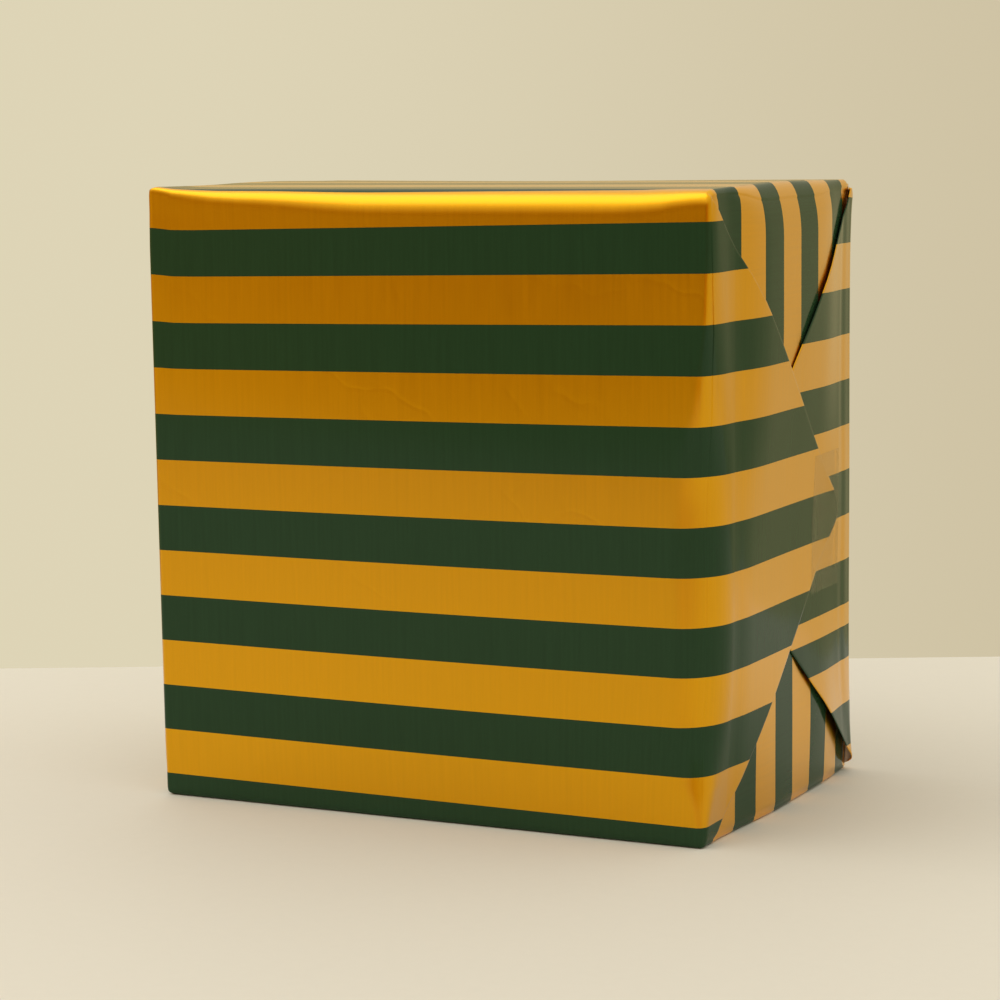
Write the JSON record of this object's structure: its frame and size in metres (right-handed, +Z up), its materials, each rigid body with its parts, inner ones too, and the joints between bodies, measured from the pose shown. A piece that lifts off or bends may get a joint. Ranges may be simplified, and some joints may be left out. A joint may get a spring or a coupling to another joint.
{
  "type": "gift-wrapped box",
  "caption": "Rectangular gift parcel: a corrugated carton wrapped in striped foil paper, with envelope-folded ends held by clear tape.",
  "frame": {"origin": "middle of the underside", "axes": "+X along the width, towards the end whose flaps are folded in view; +Y from front to back; +Z up"},
  "size_m": [0.193, 0.125, 0.198],
  "materials": {
    "gift_paper": "satin foil print, dark green and metallic gold stripes 15 mm wide",
    "clear_tape": "clear, satin",
    "packing_tape": "glossy tan film",
    "carton_board": "plain kraft corrugated board"
  },
  "bodies": {
    "root": {"wrap_front_panel": "gift_paper", "wrap_top_panel": "gift_paper", "wrap_back_upper_panel": "gift_paper", "wrap_back_lower_panel": "gift_paper", "wrap_bottom_panel": "gift_paper", "right_top_tuck": "gift_paper", "right_bottom_tuck": "gift_paper", "right_rear_flap_lower": "gift_paper", "right_rear_flap_upper": "gift_paper", "right_front_flap": "gift_paper", "left_top_tuck": "gift_paper", "left_bottom_tuck": "gift_paper", "left_rear_flap_lower": "gift_paper", "left_rear_flap_upper": "gift_paper", "left_front_flap": "gift_paper", "seam_tapes": "clear_tape", "right_flap_tape": "clear_tape", "left_flap_tape": "clear_tape", "carton_top_tape": "packing_tape", "carton_bottom_tape": "packing_tape", "carton_front_wall": "carton_board", "carton_back_wall": "carton_board", "carton_left_wall": "carton_board", "carton_right_wall": "carton_board", "carton_glue_tab": "carton_board", "carton_left_top_flap": "carton_board", "carton_right_top_flap": "carton_board", "carton_front_top_flap": "carton_board", "carton_back_top_flap": "carton_board", "carton_left_bottom_flap": "carton_board", "carton_right_bottom_flap": "carton_board", "carton_front_bottom_flap": "carton_board", "carton_back_bottom_flap": "carton_board"}
  },
  "joints": []
}
